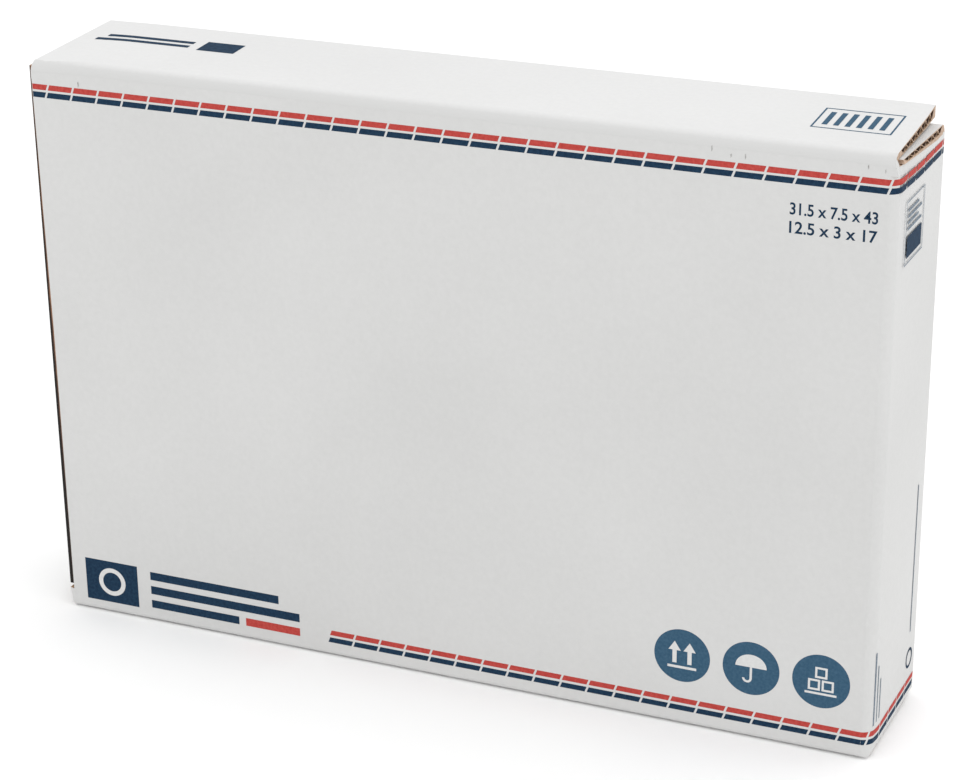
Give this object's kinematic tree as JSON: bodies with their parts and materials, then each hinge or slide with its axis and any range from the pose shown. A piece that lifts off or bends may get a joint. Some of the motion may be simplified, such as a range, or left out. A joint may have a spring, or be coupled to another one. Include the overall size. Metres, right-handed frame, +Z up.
{
  "type": "fold-over flap shipping box",
  "caption": "Shallow corrugated shipping box standing on a long narrow side, with a hinged fold-over flap along its top front edge and dashed stripes",
  "frame": {"origin": "middle of the box's footprint on the surface that it stands on", "axes": "+X runs along the box to its right end, +Y to the back, +Z up; the front panel faces -Y"},
  "size_m": [0.453, 0.074, 0.3106],
  "materials": {
    "white_board": "matt white-faced corrugated board, brown inside"
  },
  "bodies": {
    "carton": {"carton_body": "white_board"},
    "flap": {"fold_over_flap": "white_board"}
  },
  "joints": [
    {"name": "flap_hinge", "type": "hinge", "parent": "carton", "child": "flap", "pos_m": [0, -0.03545, 0.30645], "axis": [1, 0, 0], "range_deg": [0, 170]}
  ]
}
